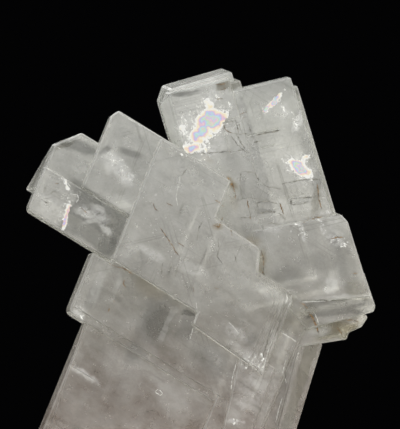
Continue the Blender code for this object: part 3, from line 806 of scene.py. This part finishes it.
FILM_HILLS = [
    (-6.8, 20, 3.1, 2.3, 20, 1), (-9, 17.3, 3.1, 2, 60, 0.9), (-10.4, 15.1, 2.2, 1.4, 15, 0.85),
    (-7.4, 22.9, 1.8, 1.1, 100, 0.72), (-7.9, 14.4, 1.6, 1.1, -60, 0.68), (-5, 20.5, 1.6, 1.1, 30, 0.75),
    (-6.3, 16.6, 2.2, 1.4, -20, 0.64), (-11.9, 18, 1.6, 1.3, 70, 0.62), (9, 11.3, 2.9, 1.4, -36, 0.95),
    (10.1, 13, 1.3, 0.6, 0, 0.75), (4.7, 23.4, 2.2, 0.7, 45, 0.95), (3.1, 22.1, 1.4, 0.6, 50, 0.85),
    (-33.2, 2.5, 3.2, 0.8, 77, 0.85), (-33.1, 7.9, 1.6, 0.6, -58, 0.75),
]
RUST_SPOTS = {
    "rust_spot_heart": (-4.3, 9.7, -3.4, 9.5, -2.3, 7.6, -3.1, 7.4, -4.1, 8.8),
    "rust_spot_left": (-6.3, 1.1, -5, 1.3, -5, 0.2, -6.1, 0.2),
    "rust_spot_right": (2, -7.2, 2.9, -7.2, 3.1, -8.3, 2.2, -8.1),
    "rust_ledge": (10.4, -14.6, 11.3, -14.9, 12.8, -18.2, 12.4, -18.9, 11.2, -16.6),
    "rust_foot": (16.9, -16, 19.8, -16, 19.8, -16.9, 17.3, -16.7),
    "rust_rim": (11, 2.9, 13.3, 2.9, 13.3, 2, 9.5, 1.3),
    "rust_pit": (-6.3, 26.6, -4.1, 26.6, -4.1, 25, -5.4, 24.8),
}
print(len(SHEETS), "films and veils and", len(RUST_SPOTS), "heaps of rust")

# %% [markdown]
# ## Ragged sheets and strewn flakes
#
# A sheet is a closed slab 0.042 mm thick that stands 0.012 mm out of the face. It lies on the plane of
# the face under its middle, so it is flat like its crack. Flakes are small slabs that stand out a little
# less, and are left out where they would hang over the edge of a plate. They are strewn at random, but
# always from the same seed, so the crystal is the same each time.

# %% Sheets and flakes
FILM_LIFT, FILM_SINK = 0.012, 0.03
OVERHANG = 0.2
RAGGED_STEP, RAGGED_REACH, RAGGED_SPEED = 0.15, 0.25, 2.2
FLAKE_CORNERS, FLAKE_RAGGED, FLAKE_SIZES = (5, 8), (0.55, 1.2), (0.4, 1.3)
FLAKE_LONG, FLAKE_WIDE, TURN_SPREAD = 1.5, 0.7, 0.4
# Flakes stand at several heights below the film's, as surfaces at one height would flicker
FLAKE_LEVELS, LOWEST_FLAKE, FLAKE_SPAN = 11, 0.3, 0.6


def in_outline(x, z, outline):
    """True if a place is inside a closed outline."""
    inside = False
    for (x0, z0), (x1, z1) in zip(outline, outline[1:] + outline[:1]):
        if (z0 > z) != (z1 > z) and x < x0 + (z - z0) * (x1 - x0) / (z1 - z0):
            inside = not inside
    return inside


def ragged(outline, seed):
    """The outline in short steps, with its points moved about by a noise."""
    points = in_steps(outline + outline[:1], RAGGED_STEP, 1)
    shift = [noise.noise_vector(Vector((x, z, seed)) * RAGGED_SPEED) * RAGGED_REACH for x, z in points]
    return [(x + s.x, z + s.y) for (x, z), s in zip(points, shift)]


def middle_of(outline):
    """The mean of its points."""
    return [sum(p[i] for p in outline) / len(outline) for i in (0, 1)]


def on_plane(middle, normal, x, z):
    """The place on the plane through middle that is seen at x and z."""
    dx, dz = HEART.x + x * MM - middle.x, HEART.z + z * MM - middle.z
    return middle + Vector((dx, -(normal.x * dx + normal.z * dz) / normal.y, dz))


def add_slab(corners, faces, outline, lift=FILM_LIFT, strict=True):
    """A flat closed slab on the face under an outline. A strict one may not hang over an edge."""
    middle, normal = face_at(*middle_of(outline))
    if middle is None:
        return
    on_face = [on_plane(middle, normal, x, z) for x, z in outline]
    hits = [front_face(x, z) for x, z in outline]
    if strict and any(hit is None or hit.y > p.y + OVERHANG * MM for hit, p in zip(hits, on_face)):
        return
    start, count = len(corners), len(outline)
    corners += [p - Vector((0, lift, 0)) * MM for p in on_face]
    corners += [p + Vector((0, FILM_SINK, 0)) * MM for p in on_face]
    faces.append(tuple(start + i for i in range(count)))
    faces.append(tuple(start + count + i for i in reversed(range(count))))
    for i in range(count):
        j = (i + 1) % count
        faces.append((start + i, start + count + i, start + count + j, start + j))


def flake(x, z, radius, turn, picks):
    """A small irregular outline, twice as long along its turn as across."""
    count = picks.randint(*FLAKE_CORNERS)
    points = []
    for i in range(count):
        a = math.tau * i / count
        r = radius * picks.uniform(*FLAKE_RAGGED)
        long, wide = r * FLAKE_LONG * math.cos(a), r * FLAKE_WIDE * math.sin(a)
        across = long * math.cos(turn) - wide * math.sin(turn)
        points.append((x + across, z + long * math.sin(turn) + wide * math.cos(turn)))
    return points


def swarm(corners, faces, outline, per_mm2, radius, picks, turn):
    """Flakes strewn over an outline."""
    xs, zs = [p[0] for p in outline], [p[1] for p in outline]
    area = (max(xs) - min(xs)) * (max(zs) - min(zs))
    for i in range(int(area * per_mm2)):
        x, z = picks.uniform(min(xs), max(xs)), picks.uniform(min(zs), max(zs))
        if in_outline(x, z, outline):
            size = radius * picks.uniform(*FLAKE_SIZES)
            shape = flake(x, z, size, turn + picks.gauss(0, TURN_SPREAD), picks)
            level = LOWEST_FLAKE + FLAKE_SPAN * (i % FLAKE_LEVELS) / FLAKE_LEVELS
            add_slab(corners, faces, shape, FILM_LIFT * level)


print("a sheet is", round(FILM_LIFT + FILM_SINK, 3), "mm thick")

# %% [markdown]
# ## The colours of an air film
#
# Blender can compute thin-film colours, but they change with the angle of view and an exported model
# would lose them. So the colours are a ramp over the thickness, which is the hills of the table,
# roughened by a noise. It is nothing where the film ends, so the bands follow the rim as real ones do.
# The film is torn near its rim, and lets a little of the calcite show through.

# %% Film material
FILM_BANDS = [(0.0, "#cacac7"), (0.3, "#cdcdc9"), (0.42, "#cdc4a4"), (0.52, "#c6a3b0"), (0.61, "#a5a5c9")]
FILM_BANDS += [(0.7, "#9ebcc5"), (0.79, "#adc1a1"), (0.88, "#c6a6b3"), (0.95, "#aeabca"), (1.0, "#a9c1ac")]
FILM_COVER, FILM_UNEVEN, FILM_TORN, FILM_RIM = 0.88, 0.7, 0.3, 0.05
SLOW_PUSH, QUICK_PUSH, HILL_SOFTNESS = (2.0, 0.9), (0.6, 0.25), 2.0
RIPPLES, TEARS, TEAR_SQUEEZE = (1.6, 4.0, 0.25, 0.75), (0.5, 3.0, 0.5, 0.65), (0.5, 1, 1)
FILM_BUMP, FILM_REACH = 0.3, 0.05 * MM
FILM_SMOOTHEST, TEAR_ROUGH = 0.15, 0.2


def film():
    """Air film between cleavage faces, smooth as glass: pastel bands from a white rim inwards."""
    material, tree, output, place = new_material("air_film_in_cleavage")
    pushed = pushed_about(tree, pushed_about(tree, place, *SLOW_PUSH), *QUICK_PUSH)
    # A hill is a zone whose mask of 0.5 to 1 becomes a thickness of 0 to 1
    hills = zone_masks(tree, pushed, [(*hill, HILL_SOFTNESS) for hill in FILM_HILLS])
    hills = compute(tree, "MULTIPLY_ADD", hills, 2.0, -1.0)
    ripples = compute(tree, "SUBTRACT", noise_value(tree, place, *RIPPLES), 0.5)
    thickness = compute(tree, "MULTIPLY_ADD", ripples, FILM_UNEVEN, hills)
    torn = noise_value(tree, along(tree, pushed, TWIN_UP, TEAR_SQUEEZE), *TEARS)
    cover = compute(tree, "MULTIPLY_ADD", torn, -FILM_TORN, thickness)
    cover = step_between(tree, cover, -FILM_RIM, FILM_RIM, FILM_COVER)
    sockets = {"Height": thickness, "Strength": FILM_BUMP, "Distance": FILM_REACH}
    bump = add_node(tree, "ShaderNodeBump", sockets).outputs[0]
    rough = compute(tree, "MULTIPLY_ADD", torn, TEAR_ROUGH, FILM_SMOOTHEST)
    bands = colour_ramp(tree, thickness, FILM_BANDS)
    give_surface(tree, output, {"Base Color": bands, "Roughness": rough, "Normal": bump, "Alpha": cover})
    return material


film_material = film()
veil_material = mineral("fluid_veil_in_calcite", "#b4b4ae", "#dededa", 0.5, 0.35, 0.4)
print("film colours from", FILM_BANDS[0][1], "to", FILM_BANDS[-1][1])

# %% [markdown]
# ## Laying the films, veils and heaps of rust
#
# A film is its sheet and a fringe of flakes that reaches a little past it, where the crack is half open.
# A veil is flakes alone, and so is a heap of rust, with smaller and denser grains. Flakes lie along the
# edges of their limb.

# %% Lay the films and veils
FRINGE = 1.2
# How many there are on each square millimetre, and their mean radius in millimetres
FLAKES, GRAINS = (2.2, 0.27), (12, 0.065)
SHEET_SEED, FLAKE_SEED, GRAIN_SEED = 50, 100, 200
# Left of this place lies the main limb
LIMB_BORDER = -8


def strew(name, outline, per_mm2, radius, seed, material):
    """A piece of strewn flakes."""
    turn = math.radians(MAIN_ACROSS if outline[0][0] < LIMB_BORDER else TWIN_UP)
    corners, faces = [], []
    swarm(corners, faces, outline, per_mm2, radius, random.Random(seed), turn)
    if faces:
        add_piece(name, corners, faces, material)
    print(name, "has", len(faces), "faces")


for seed, (name, numbers) in enumerate(SHEETS.items()):
    outline = pairs(numbers)
    if name.startswith("film"):
        corners, faces = [], []
        add_slab(corners, faces, ragged(outline, SHEET_SEED + seed), strict=False)
        add_piece(name, corners, faces, film_material)
        cx, cz = middle_of(outline)
        outline = [(cx + (x - cx) * FRINGE, cz + (z - cz) * FRINGE) for x, z in outline]
        name = name.replace("film", "fringe")
    strew(name, outline, *FLAKES, FLAKE_SEED + seed, veil_material)

for seed, (name, numbers) in enumerate(RUST_SPOTS.items()):
    strew(name, pairs(numbers), *GRAINS, GRAIN_SEED + seed, rust)

# %% [markdown]
# ## The table
#
# The crystal stands on a pale round table with matt paint. It is kept small, so that the black room
# shows right around the crystal from the front, as in the photograph.

# %% Table
TABLE_RADIUS, RIM_CORNERS = 0.108, 96
PAINT, PAINT_DEEP, DEEP_SHARE = "#a3a19c", "#8f8d88", 0.3
ROLLER_GRAIN, ROLLER_REACH = (1.2, 3.0), 0.02 * MM
PAINT_SMOOTHEST, PAINT_UNEVEN = 0.6, 0.1


def painted_table():
    """Pale matt paint with a roller's fine grain of about 1.2 mm."""
    material, tree, output, place = new_material("paint_matt_rolled")
    grain = noise_value(tree, place, *ROLLER_GRAIN)
    tone = laid_over(tree, colour(PAINT), PAINT_DEEP, grain, DEEP_SHARE)
    bump = add_node(tree, "ShaderNodeBump", {"Height": grain, "Distance": ROLLER_REACH}).outputs[0]
    rough = compute(tree, "MULTIPLY_ADD", grain, PAINT_UNEVEN, PAINT_SMOOTHEST)
    give_surface(tree, output, {"Base Color": tone, "Roughness": rough, "Normal": bump})
    return material


angles = [math.tau * i / RIM_CORNERS for i in range(RIM_CORNERS)]
rim = [(math.cos(a) * TABLE_RADIUS, math.sin(a) * TABLE_RADIUS, 0) for a in angles]
floor_mesh = bpy.data.meshes.new("floor")
floor_mesh.from_pydata(rim, [], [range(RIM_CORNERS)])
floor_mesh.materials.append(painted_table())
floor = bpy.data.objects.new("floor", floor_mesh)
bpy.context.scene.collection.objects.link(floor)
print("the table is", 2 * TABLE_RADIUS, "m across")

# %% [markdown]
# ## Light
#
# Large soft boxes light the crystal: a key light from the upper left, weaker ones from the front and
# right, one from above, and two from behind, which make the edges glow. None stands where the front
# faces would mirror it into the camera, and rays that went through the crystal don't see them, or each
# would show as a white square in it. The room is nearly black, so clear zones look dark.

# %% Lights
AIM = Vector((0, 0, 0.038))
# Where each box stands, its size in metres, its power in watts and, if it isn't white, its tint
BOXES = {
    "key": ((-0.46, -0.60, 0.33), 0.42, 6.2),
    "front": ((0.21, -0.68, 0.41), 0.42, 4.6),
    "fill": ((0.66, -0.34, 0.16), 0.36, 2.4, "#fff8f0"),
    "top": ((-0.04, -0.06, 0.60), 0.34, 1.4),
    "back_left": ((-0.34, 0.42, 0.48), 0.34, 3.6),
    "back_right": ((0.36, 0.46, 0.42), 0.34, 3.2),
}
ROOM_DARK, ROOM_STRENGTH = "#060607", 0.5


def soft_box(name, place, size, watts, tint="#ffffff"):
    """A square soft light that faces the crystal."""
    data = bpy.data.lights.new(name, "AREA")
    data.size = size
    data.energy = watts
    data.color = colour(tint)[:3]
    lamp = bpy.data.objects.new(name, data)
    lamp.location = place
    lamp.rotation_euler = (AIM - Vector(place)).to_track_quat("-Z", "Y").to_euler()
    lamp.visible_camera = False
    lamp.visible_transmission = False
    bpy.context.scene.collection.objects.link(lamp)


for name, settings in BOXES.items():
    soft_box(name, *settings)

world = bpy.data.worlds.new("dark_room")
world.use_nodes = True
room = world.node_tree.nodes["Background"].inputs
room["Color"].default_value = colour(ROOM_DARK)
room["Strength"].default_value = ROOM_STRENGTH
bpy.context.scene.world = world
bpy.context.scene.view_settings.view_transform = "Standard"
print(len(bpy.data.lights), "soft boxes")
